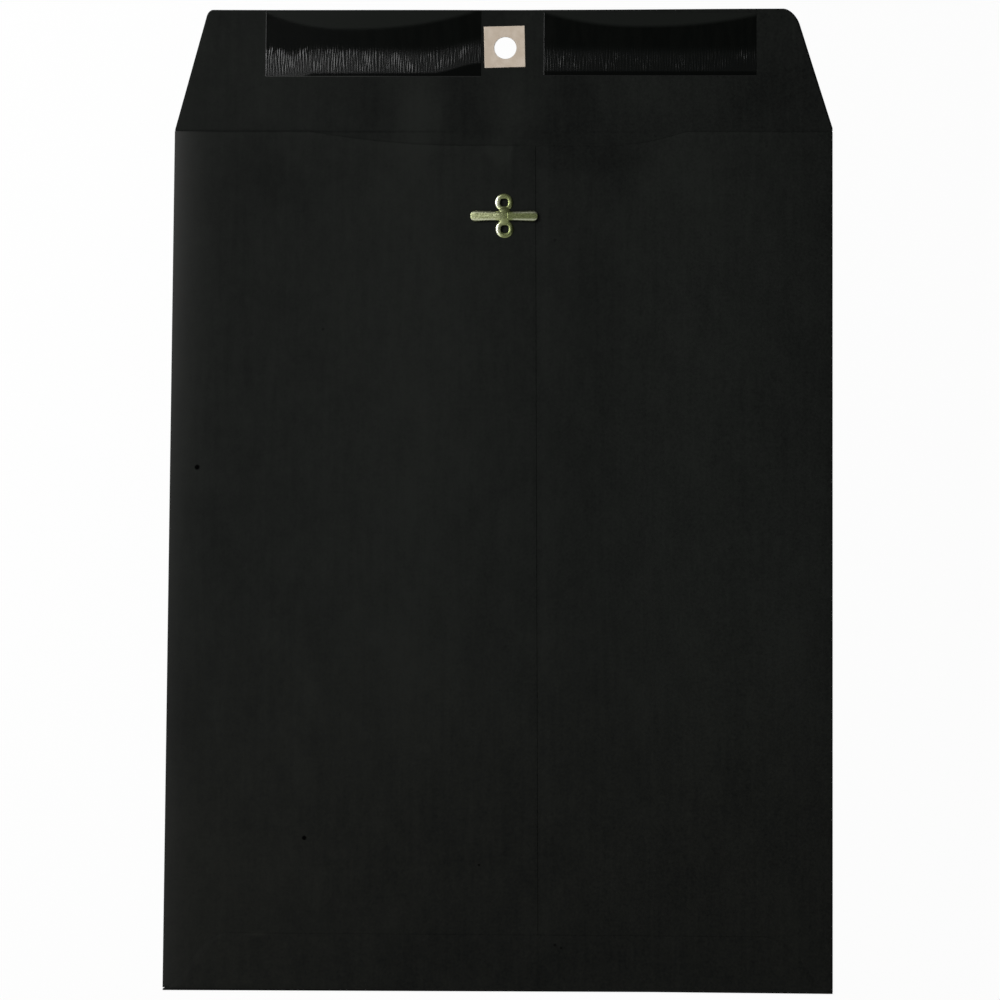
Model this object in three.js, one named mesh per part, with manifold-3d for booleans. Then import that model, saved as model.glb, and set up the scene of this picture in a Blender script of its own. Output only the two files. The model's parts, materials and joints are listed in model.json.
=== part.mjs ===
// An open clasp envelope for large sheets of paper, lying on its front with the clasp side up.
// Millimetres, +Z up, +X across the envelope, +Y from the pocket towards the open flap.
// One die-cut sheet of black paper makes the front, both side panels, the bottom flap and the seal flap.
// It is held as one piece per panel and one per folded edge. The clasp is soft brass and grips both side panels.
import * as THREE from "three";
import { mergeVertices } from "three/addons/utils/BufferGeometryUtils.js";
import Module from "manifold-3d";

// Paper blank
const ENVELOPE_WIDTH = 254;
const ENVELOPE_LENGTH = 330.2;
const PAPER = 0.15;
const POCKET_GAP = 0.7; // clear height between the front and the lowest back panel
const GLUE = 0.05;
const LAID_GAP = 0.3; // clearance between paper edges that lie side by side

// Back panels, measured from the fold line between the pocket and the flap
const SEAM_X = 12.6; // visible edge of the left panel, at the fold line
const SEAM_LEAN = 2.75; // how far that edge has moved to +X at the bottom of the envelope
const SEAM_LAP = 24; // width of the right panel hidden under the left one
const SEAM_STEP = 1.2; // width over which the right panel steps up beside the seam
const SEAM_GLUE_WIDTH = 7.5;
const SEAM_GLUE_MARGIN = 1.5;
const THROAT_DEPTH = 5.87;
const THROAT_FLAT_LEFT = -12.5;
const THROAT_FLAT_RIGHT = 39.6;
const THROAT_RISE_LEFT = 63.5; // run of the curve from the flat bottom of the throat up to the fold line
const THROAT_RISE_RIGHT = 32;

// Bottom flap
const BOTTOM_FLAP_HEIGHT = 21.3;
const BOTTOM_FLAP_INSET = 3; // foot of each slanted end, from the side edge
const BOTTOM_FLAP_TAPER = 14; // run of each slanted end
const BOTTOM_FLAP_CORNER = 8;
const BOTTOM_GLUE_HEIGHT = 11;
const BOTTOM_GLUE_MARGIN = 4;

// Seal flap
const FLAP_DEPTH = 47.7;
const FLAP_INSET_LEFT = 12.5;
const FLAP_INSET_RIGHT = 14.8;
const FLAP_CORNER_LEFT = 2;
const FLAP_CORNER_RIGHT = 7;
const HOLE_DIAMETER = 8.6;
const HOLE_OFFSET = 0.7; // the hole sits this much nearer to the fold than the clasp does

// Reinforcing patch, its centre measured from the hole's
const PATCH_WIDTH = 16.4;
const PATCH_HEIGHT = 16.8;
const PATCH_SHIFT_X = -0.6;
const PATCH_SHIFT_Y = 0.6;
const PATCH_THICKNESS = 0.2;

// Gum strips on the inner face of the flap, measured from the patch's side edges and the flap's free edge
const GUM = 0.05;
const GUM_LEFT = { length: 83.8, width: 25.9, toPatch: 0.6, toFlapEdge: 0.6 };
const GUM_RIGHT = { length: 82.3, width: 24.9, toPatch: 7.3, toFlapEdge: 1.2 };

// Clasp
const CLASP_X = 1.1;
const CLASP_FROM_FOLD = 33.3;
const LOBE_SPACING = 10.2;
const LOBE_DIAMETER = 7;
const LOBE_RISE = 0.5;
const LOBE_CROWN = 0.85; // width of the rolled rim's sloping outer side
const EYE_WIDTH = 3.6;
const EYE_HEIGHT = 3.3;
const EYE_CORNER = 1.1;
const BARREL_WALL = 0.35;
const BARREL_GAP = 0.3;
const CLINCH_WIDTH = 0.8;
const CLINCH_THICKNESS = 0.2;
const SPINE_WIDTH = 3.9;
const BOSS_WIDTH = 5.4;
const BOSS_LENGTH = 6.6;
const BOSS_WALL = 0.9; // height of the boss's steep side
const BOSS_RISE = 1.45;
const PRONG_SPAN = 26.1; // tip to tip with both prongs laid flat
const PRONG_THICKNESS = 0.3;
const PRONG_ROOT_WIDTH = 3.2;
const PRONG_TIP_WIDTH = 4;
const PRONG_TIP_CORNER = 1.8;
const PRONG_ROOT_GAP = 0.25;
const SHUT_CLEARANCE = 0.1; // above and below the closed flap, between the lobes and the prongs

// Heights
const FRONT_TOP = PAPER;
const RIGHT_UNDER = FRONT_TOP + POCKET_GAP;
const RIGHT_LAP_TOP = RIGHT_UNDER + PAPER;
const BACK_UNDER = RIGHT_LAP_TOP + GLUE;
const BACK_TOP = BACK_UNDER + PAPER;
const BOTTOM_FLAP_UNDER = BACK_TOP + GLUE;
const BOTTOM_FLAP_TOP = BOTTOM_FLAP_UNDER + PAPER;
const GUM_TOP = FRONT_TOP + GUM;
const PATCH_TOP = FRONT_TOP + PATCH_THICKNESS;
const LOBE_TOP = BACK_TOP + LOBE_RISE;
const SHUT_FLAP_TOP = LOBE_TOP + SHUT_CLEARANCE + PATCH_THICKNESS + PAPER;
const PRONG_UNDER = SHUT_FLAP_TOP + SHUT_CLEARANCE;
const PRONG_TOP = PRONG_UNDER + PRONG_THICKNESS;
const CLINCH_BOTTOM = RIGHT_UNDER - CLINCH_THICKNESS;

// Plan positions
const HALF_WIDTH = ENVELOPE_WIDTH / 2;
const SIDE_FOLD_RADIUS = BACK_TOP / 2;
const BOTTOM_FOLD_RADIUS = BOTTOM_FLAP_TOP / 2;
const SIDE_FOLD_X = HALF_WIDTH - SIDE_FOLD_RADIUS;
const BOTTOM_FOLD_Y = BOTTOM_FOLD_RADIUS - ENVELOPE_LENGTH;
const PANEL_BOTTOM_Y = BOTTOM_FOLD_Y + LAID_GAP;
const BOTTOM_FLAP_EDGE_Y = BOTTOM_FLAP_HEIGHT - ENVELOPE_LENGTH;
const CLASP_Y = -CLASP_FROM_FOLD;
const HOLE_Y = CLASP_FROM_FOLD - HOLE_OFFSET;
const PATCH_X = CLASP_X + PATCH_SHIFT_X;
const PATCH_Y = HOLE_Y + PATCH_SHIFT_Y;
const PRONG_ROOT_X = BOSS_WIDTH / 2 + PRONG_ROOT_GAP;
const BARREL_RADIUS = EYE_WIDTH / 2 + BARREL_WALL;
const BOX_MIDDLE_Y = (FLAP_DEPTH - ENVELOPE_LENGTH) / 2;

const ROUND_STEPS = 24;
const BEND_STEPS = 6;
const OVERSHOOT = 10; // how far cutting bodies reach past what they cut

const blackPaper = new THREE.MeshStandardMaterial({ color: 0x1b1c1b, roughness: 0.88, metalness: 0 });
const driedGum = new THREE.MeshStandardMaterial({ color: 0x0d0f0d, roughness: 0.22, metalness: 0 });
const buffPaper = new THREE.MeshStandardMaterial({ color: 0xb9ac9c, roughness: 0.85, metalness: 0 });
const softBrass = new THREE.MeshStandardMaterial({ color: 0xa3a678, roughness: 0.35, metalness: 1 });
const seamGlue = new THREE.MeshStandardMaterial({ color: 0x6f6a58, roughness: 0.5, metalness: 0 });

const wasm = await Module();
wasm.setup();

// A closed three.js geometry as a manifold-3d solid.
function toSolid(geometry) {
  const bare = geometry.clone();
  bare.deleteAttribute("normal");
  bare.deleteAttribute("uv");
  const merged = mergeVertices(bare, 1e-5);
  const corners = merged.index.array;
  const kept = [];
  for (let i = 0; i < corners.length; i += 3) {
    const [a, b, c] = [corners[i], corners[i + 1], corners[i + 2]];
    if (a !== b && b !== c && c !== a) kept.push(a, b, c);
  }
  const vertProperties = merged.attributes.position.array;
  return new wasm.Manifold(new wasm.Mesh({ numProp: 3, vertProperties, triVerts: new Uint32Array(kept) }));
}

// A manifold-3d solid as a three.js geometry.
function toGeometry(solid) {
  const { vertProperties, triVerts } = solid.getMesh();
  const geometry = new THREE.BufferGeometry();
  geometry.setAttribute("position", new THREE.BufferAttribute(vertProperties, 3));
  geometry.setIndex(new THREE.BufferAttribute(triVerts, 1));
  const faceted = geometry.toNonIndexed();
  faceted.computeVertexNormals();
  return faceted;
}

// A polygon whose corners are rounded where they give a radius: [x, y, radius].
function roundedOutline(corners) {
  const shape = new THREE.Shape();
  corners.forEach(([x, y, radius = 0], i) => {
    const before = corners.at(i - 1);
    const after = corners[(i + 1) % corners.length];
    const corner = new THREE.Vector2(x, y);
    const toBefore = new THREE.Vector2(before[0], before[1]).sub(corner).normalize();
    const toAfter = new THREE.Vector2(after[0], after[1]).sub(corner).normalize();
    const halfAngle = Math.acos(toBefore.dot(toAfter)) / 2;
    const cut = radius / Math.tan(halfAngle);
    const start = corner.clone().addScaledVector(toBefore, cut);
    const end = corner.clone().addScaledVector(toAfter, cut);
    if (i === 0) shape.moveTo(start.x, start.y);
    else shape.lineTo(start.x, start.y);
    if (radius > 0) shape.quadraticCurveTo(x, y, end.x, end.y);
  });
  shape.closePath();
  return shape;
}

function circlePath(x, y, radius) {
  return new THREE.Path().absarc(x, y, radius, 0, 2 * Math.PI, true);
}

// A flat sheet with the plan outline given, from height low to height high.
function slab(shape, low, high) {
  const geometry = new THREE.ExtrudeGeometry(shape, {
    depth: 1,
    bevelEnabled: false,
    curveSegments: ROUND_STEPS,
  });
  const position = geometry.attributes.position;
  for (let i = 0; i < position.count; i++) position.setZ(i, position.getZ(i) < 0.5 ? low : high);
  geometry.computeVertexNormals();
  return geometry;
}

// A profile drawn in X and Z, swept along -Y from startY to endY.
function sweptProfile(profile, startY, endY) {
  const geometry = new THREE.ExtrudeGeometry(profile, { depth: startY - endY, bevelEnabled: false });
  const across = new THREE.Vector3(1, 0, 0);
  const up = new THREE.Vector3(0, 0, 1);
  const along = new THREE.Vector3(0, -1, 0);
  geometry.applyMatrix4(new THREE.Matrix4().makeBasis(across, up, along).setPosition(0, startY, 0));
  return geometry;
}

// A closed profile, given as [radius, height] from axis to axis, turned about a vertical axis.
function turned(profile, x, y) {
  const points = profile.map(([radius, height]) => new THREE.Vector2(radius, height));
  const geometry = new THREE.LatheGeometry(points, ROUND_STEPS);
  return geometry.rotateX(Math.PI / 2).translate(x, y, 0);
}

// The section of a paper edge folded back on itself: a half ring that bulges towards side, -1 or 1.
function foldSection(flatEnd, radius, side) {
  const outer = [];
  const inner = [];
  for (let i = 0; i <= BEND_STEPS; i++) {
    const angle = Math.PI * (i / BEND_STEPS - 0.5);
    const reach = side * Math.cos(angle);
    const rise = Math.sin(angle);
    outer.push(new THREE.Vector2(flatEnd + radius * reach, radius + radius * rise));
    inner.push(new THREE.Vector2(flatEnd + (radius - PAPER) * reach, radius + (radius - PAPER) * rise));
  }
  return new THREE.Shape(outer.concat(inner.reverse()));
}

// X of the visible seam edge at a given Y.
function seamX(y) {
  return SEAM_X - (SEAM_LEAN * y) / ENVELOPE_LENGTH;
}

function rectangle(left, right, bottom, top, corner = 0) {
  return roundedOutline([
    [left, bottom, corner],
    [right, bottom, corner],
    [right, top, corner],
    [left, top, corner],
  ]);
}

function lobeCentres() {
  return [1, -1].map((end) => ({ x: CLASP_X, y: CLASP_Y + (end * LOBE_SPACING) / 2 }));
}

// Paper panels

function frontPanel() {
  return slab(rectangle(-SIDE_FOLD_X, SIDE_FOLD_X, BOTTOM_FOLD_Y, 0), 0, FRONT_TOP);
}

function sideFold(side) {
  return sweptProfile(foldSection(side * SIDE_FOLD_X, SIDE_FOLD_RADIUS, side), 0, PANEL_BOTTOM_Y);
}

function bottomFold() {
  const section = foldSection(BOTTOM_FOLD_Y, BOTTOM_FOLD_RADIUS, -1);
  const geometry = new THREE.ExtrudeGeometry(section, { depth: ENVELOPE_WIDTH, bevelEnabled: false });
  const fromFold = new THREE.Vector3(0, 1, 0);
  const up = new THREE.Vector3(0, 0, 1);
  const across = new THREE.Vector3(1, 0, 0);
  geometry.applyMatrix4(new THREE.Matrix4().makeBasis(fromFold, up, across).setPosition(-HALF_WIDTH, 0, 0));
  return geometry;
}

// The left panel lies on the right one, so its free edge is the seam that shows.
function leftPanel() {
  const shape = new THREE.Shape();
  shape.moveTo(-SIDE_FOLD_X, PANEL_BOTTOM_Y);
  shape.lineTo(seamX(PANEL_BOTTOM_Y), PANEL_BOTTOM_Y);
  shape.lineTo(seamX(-THROAT_DEPTH), -THROAT_DEPTH);
  shape.lineTo(THROAT_FLAT_LEFT, -THROAT_DEPTH);
  const riseMiddle = THROAT_FLAT_LEFT - THROAT_RISE_LEFT / 2;
  shape.quadraticCurveTo(riseMiddle, -THROAT_DEPTH, THROAT_FLAT_LEFT - THROAT_RISE_LEFT, 0);
  shape.lineTo(-SIDE_FOLD_X, 0);
  shape.closePath();
  for (const { x, y } of lobeCentres()) shape.holes.push(circlePath(x, y, BARREL_RADIUS + BARREL_GAP));
  return slab(shape, BACK_UNDER, BACK_TOP);
}

// The right panel runs under the left one and steps up to its level beside the seam.
function rightPanel() {
  const hidden = SEAM_X - SEAM_LAP;
  const stepFoot = SEAM_X + LAID_GAP;
  const stepHead = stepFoot + SEAM_STEP;
  const far = HALF_WIDTH + OVERSHOOT;
  const profile = new THREE.Shape([
    new THREE.Vector2(hidden, RIGHT_UNDER),
    new THREE.Vector2(stepFoot, RIGHT_UNDER),
    new THREE.Vector2(stepHead, BACK_UNDER),
    new THREE.Vector2(far, BACK_UNDER),
    new THREE.Vector2(far, BACK_TOP),
    new THREE.Vector2(stepHead, BACK_TOP),
    new THREE.Vector2(stepFoot, RIGHT_LAP_TOP),
    new THREE.Vector2(hidden, RIGHT_LAP_TOP),
  ]);
  const sheet = sweptProfile(profile, OVERSHOOT, -ENVELOPE_LENGTH - OVERSHOOT);
  const position = sheet.attributes.position;
  for (let i = 0; i < position.count; i++) {
    position.setX(i, position.getX(i) + seamX(position.getY(i)) - SEAM_X);
  }

  const outline = new THREE.Shape();
  outline.moveTo(-HALF_WIDTH, PANEL_BOTTOM_Y);
  outline.lineTo(SIDE_FOLD_X, PANEL_BOTTOM_Y);
  outline.lineTo(SIDE_FOLD_X, 0);
  outline.lineTo(THROAT_FLAT_RIGHT + THROAT_RISE_RIGHT, 0);
  const riseMiddle = THROAT_FLAT_RIGHT + THROAT_RISE_RIGHT / 2;
  outline.quadraticCurveTo(riseMiddle, -THROAT_DEPTH, THROAT_FLAT_RIGHT, -THROAT_DEPTH);
  outline.lineTo(-HALF_WIDTH, -THROAT_DEPTH);
  outline.closePath();
  for (const { x, y } of lobeCentres()) outline.holes.push(circlePath(x, y, BARREL_RADIUS + BARREL_GAP));
  const cutter = slab(outline, -OVERSHOOT, OVERSHOOT);
  return toGeometry(toSolid(sheet).intersect(toSolid(cutter)));
}

function bottomFlap() {
  const foot = HALF_WIDTH - BOTTOM_FLAP_INSET;
  const head = foot - BOTTOM_FLAP_TAPER;
  const outline = roundedOutline([
    [-foot, BOTTOM_FOLD_Y],
    [foot, BOTTOM_FOLD_Y],
    [head, BOTTOM_FLAP_EDGE_Y, BOTTOM_FLAP_CORNER],
    [-head, BOTTOM_FLAP_EDGE_Y, BOTTOM_FLAP_CORNER],
  ]);
  return slab(outline, BOTTOM_FLAP_UNDER, BOTTOM_FLAP_TOP);
}

function sealFlap() {
  const outline = roundedOutline([
    [-HALF_WIDTH, LAID_GAP],
    [HALF_WIDTH, LAID_GAP],
    [HALF_WIDTH - FLAP_INSET_RIGHT, FLAP_DEPTH, FLAP_CORNER_RIGHT],
    [-HALF_WIDTH + FLAP_INSET_LEFT, FLAP_DEPTH, FLAP_CORNER_LEFT],
  ]);
  outline.holes.push(circlePath(CLASP_X, HOLE_Y, HOLE_DIAMETER / 2));
  return slab(outline, 0, FRONT_TOP);
}

function holePatch() {
  const halfWidth = PATCH_WIDTH / 2;
  const halfHeight = PATCH_HEIGHT / 2;
  const outline = rectangle(PATCH_X - halfWidth, PATCH_X + halfWidth, PATCH_Y - halfHeight, PATCH_Y + halfHeight);
  outline.holes.push(circlePath(CLASP_X, HOLE_Y, HOLE_DIAMETER / 2));
  return slab(outline, FRONT_TOP, PATCH_TOP);
}

function gumStrip(strip, side) {
  const near = PATCH_X + side * (PATCH_WIDTH / 2 + strip.toPatch);
  const far = near + side * strip.length;
  const top = FLAP_DEPTH - strip.toFlapEdge;
  const outline = rectangle(Math.min(near, far), Math.max(near, far), top - strip.width, top);
  return slab(outline, FRONT_TOP, GUM_TOP);
}

// Glue lines

function seamGlueLine() {
  const top = -THROAT_DEPTH - SEAM_GLUE_MARGIN;
  const bottom = PANEL_BOTTOM_Y + SEAM_GLUE_MARGIN;
  const right = SEAM_X - SEAM_GLUE_MARGIN;
  const left = right - SEAM_GLUE_WIDTH;
  const outline = roundedOutline([
    [left + seamX(bottom) - SEAM_X, bottom],
    [right + seamX(bottom) - SEAM_X, bottom],
    [right + seamX(top) - SEAM_X, top],
    [left + seamX(top) - SEAM_X, top],
  ]);
  return slab(outline, RIGHT_LAP_TOP, BACK_UNDER);
}

function bottomGlueLine() {
  const end = HALF_WIDTH - BOTTOM_FLAP_INSET - BOTTOM_FLAP_TAPER - BOTTOM_GLUE_MARGIN;
  const top = BOTTOM_FLAP_EDGE_Y - BOTTOM_GLUE_MARGIN;
  return slab(rectangle(-end, end, top - BOTTOM_GLUE_HEIGHT, top), BACK_TOP, BOTTOM_FLAP_UNDER);
}

// Clasp

// A lobe has a rolled rim on the envelope, a barrel through both panels and a clinched collar in the pocket.
function lobe({ x, y }) {
  const rim = LOBE_DIAMETER / 2;
  const collar = BARREL_RADIUS + CLINCH_WIDTH;
  const profile = [
    [0, CLINCH_BOTTOM],
    [collar, CLINCH_BOTTOM],
    [collar, RIGHT_UNDER],
    [BARREL_RADIUS, RIGHT_UNDER],
    [BARREL_RADIUS, BACK_TOP],
    [rim, BACK_TOP],
  ];
  for (let i = 1; i <= BEND_STEPS; i++) {
    const angle = (Math.PI / 2) * (i / BEND_STEPS);
    profile.push([rim - LOBE_CROWN * (1 - Math.cos(angle)), BACK_TOP + LOBE_RISE * Math.sin(angle)]);
  }
  profile.push([0, LOBE_TOP]);
  return toSolid(turned(profile, x, y));
}

function boss() {
  const radius = BOSS_WIDTH / 2;
  const profile = [
    [0, 0],
    [radius, 0],
  ];
  for (let i = 0; i <= BEND_STEPS; i++) {
    const angle = (Math.PI / 2) * (i / BEND_STEPS);
    const height = BOSS_WALL + (BOSS_RISE - BOSS_WALL) * Math.sin(angle);
    profile.push([i === BEND_STEPS ? 0 : radius * Math.cos(angle), height]);
  }
  const dome = turned(profile, 0, 0);
  dome.scale(1, BOSS_LENGTH / BOSS_WIDTH, 1);
  dome.translate(CLASP_X, CLASP_Y, BACK_TOP);
  return toSolid(dome);
}

function claspBase() {
  const spineHalf = SPINE_WIDTH / 2;
  const spineOutline = rectangle(
    CLASP_X - spineHalf,
    CLASP_X + spineHalf,
    CLASP_Y - LOBE_SPACING / 2,
    CLASP_Y + LOBE_SPACING / 2,
  );
  let base = toSolid(slab(spineOutline, BACK_TOP, LOBE_TOP)).add(boss());
  for (const centre of lobeCentres()) base = base.add(lobe(centre));
  for (const { x, y } of lobeCentres()) {
    const [halfWidth, halfHeight] = [EYE_WIDTH / 2, EYE_HEIGHT / 2];
    const eye = rectangle(x - halfWidth, x + halfWidth, y - halfHeight, y + halfHeight, EYE_CORNER);
    base = base.subtract(toSolid(slab(eye, -OVERSHOOT, OVERSHOOT)));
  }
  return toGeometry(base);
}

function prong(side) {
  const tip = PRONG_SPAN / 2;
  const outline = roundedOutline([
    [CLASP_X + side * PRONG_ROOT_X, CLASP_Y - PRONG_ROOT_WIDTH / 2],
    [CLASP_X + side * tip, CLASP_Y - PRONG_TIP_WIDTH / 2, PRONG_TIP_CORNER],
    [CLASP_X + side * tip, CLASP_Y + PRONG_TIP_WIDTH / 2, PRONG_TIP_CORNER],
    [CLASP_X + side * PRONG_ROOT_X, CLASP_Y + PRONG_ROOT_WIDTH / 2],
  ]);
  return slab(outline, PRONG_UNDER, PRONG_TOP);
}

function mesh(name, geometry, material) {
  const piece = new THREE.Mesh(geometry, material);
  piece.name = name;
  return piece;
}

const pocket = new THREE.Group();
pocket.add(
  mesh("front_panel", frontPanel(), blackPaper.clone()),
  mesh("left_fold_edge", sideFold(-1), blackPaper.clone()),
  mesh("right_fold_edge", sideFold(1), blackPaper.clone()),
  mesh("left_side_panel", leftPanel(), blackPaper.clone()),
  mesh("right_side_panel", rightPanel(), blackPaper.clone()),
  mesh("seam_glue_line", seamGlueLine(), seamGlue.clone()),
  mesh("bottom_fold_edge", bottomFold(), blackPaper.clone()),
  mesh("bottom_flap", bottomFlap(), blackPaper.clone()),
  mesh("bottom_flap_glue_line", bottomGlueLine(), seamGlue.clone()),
);

const flap = new THREE.Group();
flap.add(
  mesh("seal_flap", sealFlap(), blackPaper.clone()),
  mesh("hole_patch", holePatch(), buffPaper),
  mesh("gum_strip_left", gumStrip(GUM_LEFT, -1), driedGum.clone()),
  mesh("gum_strip_right", gumStrip(GUM_RIGHT, 1), driedGum.clone()),
);

const clasp = new THREE.Group();
clasp.add(
  mesh("clasp_base", claspBase(), softBrass.clone()),
  mesh("clasp_prong_left", prong(-1), softBrass.clone()),
  mesh("clasp_prong_right", prong(1), softBrass.clone()),
);

// The origin is the middle of the underside of the whole open envelope.
const group = new THREE.Group();
group.add(pocket, flap, clasp);
group.position.y = -BOX_MIDDLE_Y;

export default group;
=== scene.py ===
import json
import math

import bmesh
import bpy
import numpy as np
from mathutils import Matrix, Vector

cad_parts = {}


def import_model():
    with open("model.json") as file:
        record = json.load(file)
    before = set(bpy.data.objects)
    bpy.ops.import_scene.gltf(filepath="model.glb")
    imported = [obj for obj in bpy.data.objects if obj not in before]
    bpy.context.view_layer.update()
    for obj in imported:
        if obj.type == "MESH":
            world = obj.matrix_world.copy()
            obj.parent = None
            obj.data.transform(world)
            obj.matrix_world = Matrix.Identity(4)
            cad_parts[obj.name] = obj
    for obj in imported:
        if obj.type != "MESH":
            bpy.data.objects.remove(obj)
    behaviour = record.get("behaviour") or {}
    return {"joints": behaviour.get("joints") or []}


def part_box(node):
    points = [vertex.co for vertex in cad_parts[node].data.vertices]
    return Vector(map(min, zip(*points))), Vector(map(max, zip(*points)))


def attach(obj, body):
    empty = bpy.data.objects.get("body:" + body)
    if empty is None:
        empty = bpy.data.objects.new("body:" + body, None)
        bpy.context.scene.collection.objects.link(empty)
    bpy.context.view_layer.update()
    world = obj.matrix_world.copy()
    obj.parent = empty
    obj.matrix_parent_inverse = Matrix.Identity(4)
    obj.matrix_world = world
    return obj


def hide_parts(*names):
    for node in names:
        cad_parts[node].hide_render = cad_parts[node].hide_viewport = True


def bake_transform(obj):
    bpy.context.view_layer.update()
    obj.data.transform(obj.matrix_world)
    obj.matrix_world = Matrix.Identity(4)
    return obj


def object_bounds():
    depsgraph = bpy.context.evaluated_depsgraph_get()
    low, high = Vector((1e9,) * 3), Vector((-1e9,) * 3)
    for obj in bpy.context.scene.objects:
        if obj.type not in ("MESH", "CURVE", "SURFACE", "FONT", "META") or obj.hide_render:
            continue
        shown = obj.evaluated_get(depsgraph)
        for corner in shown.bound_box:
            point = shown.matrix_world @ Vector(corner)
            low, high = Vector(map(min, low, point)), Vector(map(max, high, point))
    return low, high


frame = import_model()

CAD_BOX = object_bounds()
MM = 0.001

# Camera, a little off the vertical as in the photograph
CAMERA_LENS = 120
CAMERA_PLACE = (0.03438, -0.108, 1.27368)
CAMERA_TURN_DEGREES = (4.7613, 1.5127, 0.3532)

# Sheet sizes
PAPER = 0.15 * MM
GLUE = 0.05 * MM
STEP_DOWN = PAPER + GLUE  # how much lower the right panel lies where the left one covers it
EDGE_HEIGHT = 0.75 * MM  # top of the pressed side folds, below the back panels' own height
BOTTOM_EDGE_HEIGHT = 0.95 * MM
SEAM_LAP = 24 * MM  # width of the right panel hidden under the left one
SEAM_PASTE = (-9 * MM, -1.5 * MM)  # the paste's two sides, from the seam's edge
BARREL_HOLE_RADIUS = 2.3 * MM
PATCH_THICKNESS = 0.18 * MM
PATCH_HALF_SIZE = (7.9 * MM, 8.1 * MM)
PATCH_SHIFT = (0.3 * MM, -0.16 * MM)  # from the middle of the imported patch
PATCH_TURN_DEGREES = 1.5
GUM_COAT = 0.05 * MM
GUM_LIFT = 0.07 * MM  # from the paper to the coat's upper face
RIPPLE_DEPTH = 0.018 * MM
BEAD_HEIGHT = 0.014 * MM

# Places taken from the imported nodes
FRONT_LOW, FRONT_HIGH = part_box("front_panel")
LEFT_LOW, LEFT_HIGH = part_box("left_side_panel")
FLAP_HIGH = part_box("seal_flap")[1]
BOTTOM_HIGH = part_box("bottom_flap")[1]
BASE_LOW, BASE_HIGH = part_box("clasp_base")
PATCH_LOW, PATCH_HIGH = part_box("hole_patch")
HALF_WIDTH = FLAP_HIGH.x
BOTTOM_Y = CAD_BOX[0].y
BACK_TOP = LEFT_HIGH.z
PANEL_BOTTOM_Y = LEFT_LOW.y
CLASP = Vector(((BASE_LOW.x + BASE_HIGH.x) / 2, (BASE_LOW.y + BASE_HIGH.y) / 2, BACK_TOP))
HINGE = {joint["name"]: Vector(joint["pos_m"]) for joint in frame["joints"]}
FOLD_Y = HINGE["flap_fold"].y
HOLE_OFFSET = 0.7 * MM  # the hole sits this much nearer to the fold than the clasp does
HOLE = Vector((CLASP.x, 2 * FOLD_Y - CLASP.y - HOLE_OFFSET, 0))
HOLE_RADIUS = 4.3 * MM
HOLE_SIDES = 96
LOBE_PLACES = ((-0.12 * MM, 5.08 * MM), (0.18 * MM, -5.27 * MM))  # from the clasp's middle
PRONG_Y = CLASP.y - 0.3 * MM

# Outlines that the boxes do not give
SEAM_TOP_X = 12.9 * MM
SEAM_LEAN = 2.75 * MM
SEAM_LENGTH = 330.2 * MM
THROAT_DEPTH = 5.87 * MM
TOP_SETBACK = 0.35 * MM  # the panels' top edge stays this far from the crease
THROAT_FLAT = (-12.5 * MM, 39.6 * MM)
THROAT_RISE = (63.5 * MM, 32 * MM)
FLAP_INSET = (12.5 * MM, 14.8 * MM)
FLAP_SHOULDER = (0, 0.38 * MM)
MOUTH_WIDENING = 0.65 * MM  # how much further the right side reaches at the fold than at the bottom
FLAP_CORNER = (2.4 * MM, 6.3 * MM)
FLAP_CORNER_SHARE = 0.72  # how much of a full round each corner takes off
FREE_EDGE_DROP = 0.14 * MM  # the flap's free edge lies lower by this, and rises again towards the right
FREE_EDGE_RISE = 0.52 * MM
BOTTOM_HALF_WIDTH = HALF_WIDTH - 0.1 * MM
BOTTOM_FOOT = HALF_WIDTH - 3 * MM
BOTTOM_TAPER = 14 * MM
BOTTOM_CORNER = 8 * MM
BOTTOM_CORNER_SHARE = 0.8
# The bottom fold isn't quite straight: shares of the half width, and how far up it lies there in millimetres.
BOTTOM_WANDER = ((-1, 0, 0.45, 1), (-0.42, 0.04, 0.24, 0.06))


def smooth_step(low, high, value):
    t = np.clip((value - low) / (high - low), 0, 1)
    return t * t * (3 - 2 * t)


def hill(value, centre, width):
    return np.exp(-(((value - centre) / width) ** 2))


# Meshes


def make_object(name, points, faces):
    mesh = bpy.data.meshes.new(name)
    mesh.from_pydata([tuple(p) for p in points], [], faces)
    mesh.validate()
    mesh.update()
    piece = bpy.data.objects.new(name, mesh)
    bpy.context.scene.collection.objects.link(piece)
    mesh.polygons.foreach_set("use_smooth", [True] * len(mesh.polygons))
    return piece


def grid_normals(grid):
    along = np.gradient(grid, axis=1)
    across = np.gradient(grid, axis=0)
    normal = np.cross(along, across)
    return normal / np.linalg.norm(normal, axis=2, keepdims=True)


def sheet(name, outer, thickness):
    """A closed sheet, thickened inwards from outer, which is a grid of points on its outer face."""
    rows, columns = outer.shape[:2]
    inner = outer - grid_normals(outer) * thickness
    points = np.concatenate([outer.reshape(-1, 3), inner.reshape(-1, 3)])
    back = rows * columns
    index = np.arange(back).reshape(rows, columns)
    a, b = index[:-1, :-1].ravel(), index[:-1, 1:].ravel()
    c, d = index[1:, 1:].ravel(), index[1:, :-1].ravel()
    faces = np.stack([a, b, c, d], 1).tolist()
    faces += np.stack([d + back, c + back, b + back, a + back], 1).tolist()
    rim = np.concatenate([index[0, :-1], index[:-1, -1], index[-1, :0:-1], index[:0:-1, 0]])
    following = np.roll(rim, -1)
    faces += np.stack([following, rim, rim + back, following + back], 1).tolist()
    return make_object(name, points, faces)


def sharpen(piece, degrees=40):
    """Flat shading breaks at edges sharper than this, so that cut paper edges stay crisp."""
    with bpy.context.temp_override(object=piece, active_object=piece, selected_objects=[piece]):
        bpy.ops.object.shade_smooth_by_angle(angle=math.radians(degrees))


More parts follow.
